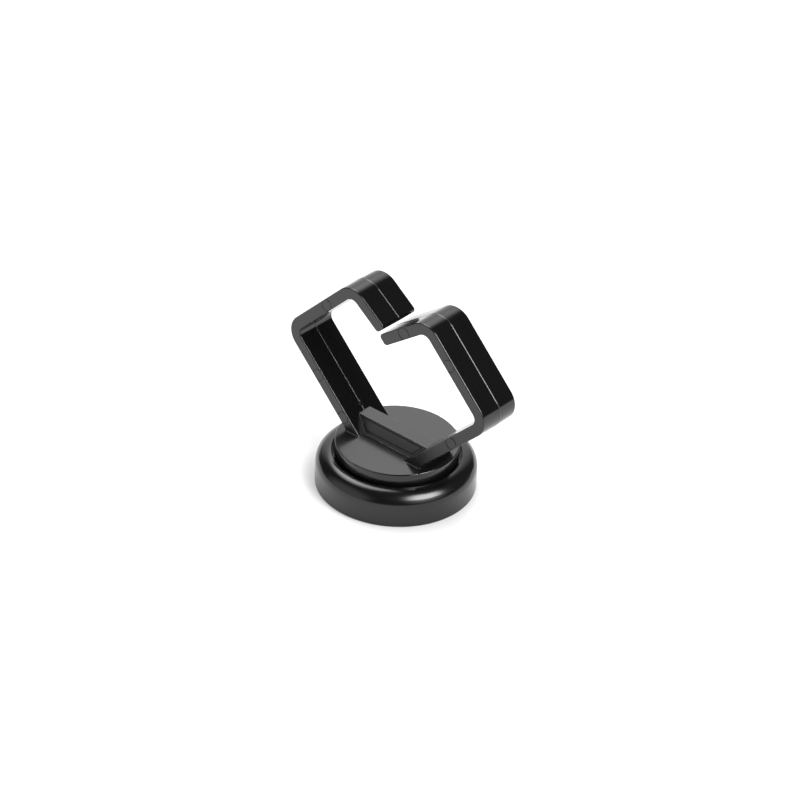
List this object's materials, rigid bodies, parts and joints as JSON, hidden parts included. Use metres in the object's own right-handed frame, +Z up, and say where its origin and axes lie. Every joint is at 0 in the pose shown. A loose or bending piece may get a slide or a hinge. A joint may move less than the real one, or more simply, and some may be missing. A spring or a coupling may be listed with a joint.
{
  "type": "magnetic cable holder",
  "caption": "Open diamond-shaped clip of flat black band that swivels on a round pot magnet and gathers cables through a slot between two inturned flaps.",
  "frame": {"origin": "on the swivel axis, at the level of the flat magnet face that the holder stands on", "axes": "+Z up along the swivel axis; +X in the plane of the clip's loop, towards the longer flap's side; +Y across the width of the band"},
  "size_m": [0.0628, 0.0406, 0.0536],
  "materials": {
    "black_painted_steel": "semi-gloss black paint",
    "ferrite": "ground sintered ferrite, dark grey, matt",
    "potting_resin": "cured black epoxy",
    "zinc_plated_steel": "bright zinc plate",
    "spring_steel": "oiled spring steel",
    "white_acetal": "smooth natural acetal",
    "brass": "turned",
    "black_nylon": "moulded black nylon, glossy faces, satin edges"
  },
  "bodies": {
    "base": {"magnet_cup": "black_painted_steel", "ring_magnet": "ferrite", "outer_resin": "potting_resin", "inner_resin": "potting_resin", "pole_bush": "zinc_plated_steel", "flat_washer": "zinc_plated_steel", "slip_washer": "white_acetal"},
    "clip": {"cable_clip": "black_nylon", "threaded_insert": "brass", "pivot_screw": "zinc_plated_steel", "spring_washer": "spring_steel"}
  },
  "joints": [
    {"name": "clip_swivel", "type": "hinge", "parent": "base", "child": "clip", "pos_m": [0, 0, 0.0069], "axis": [0, 0, 1], "continuous": true}
  ]
}
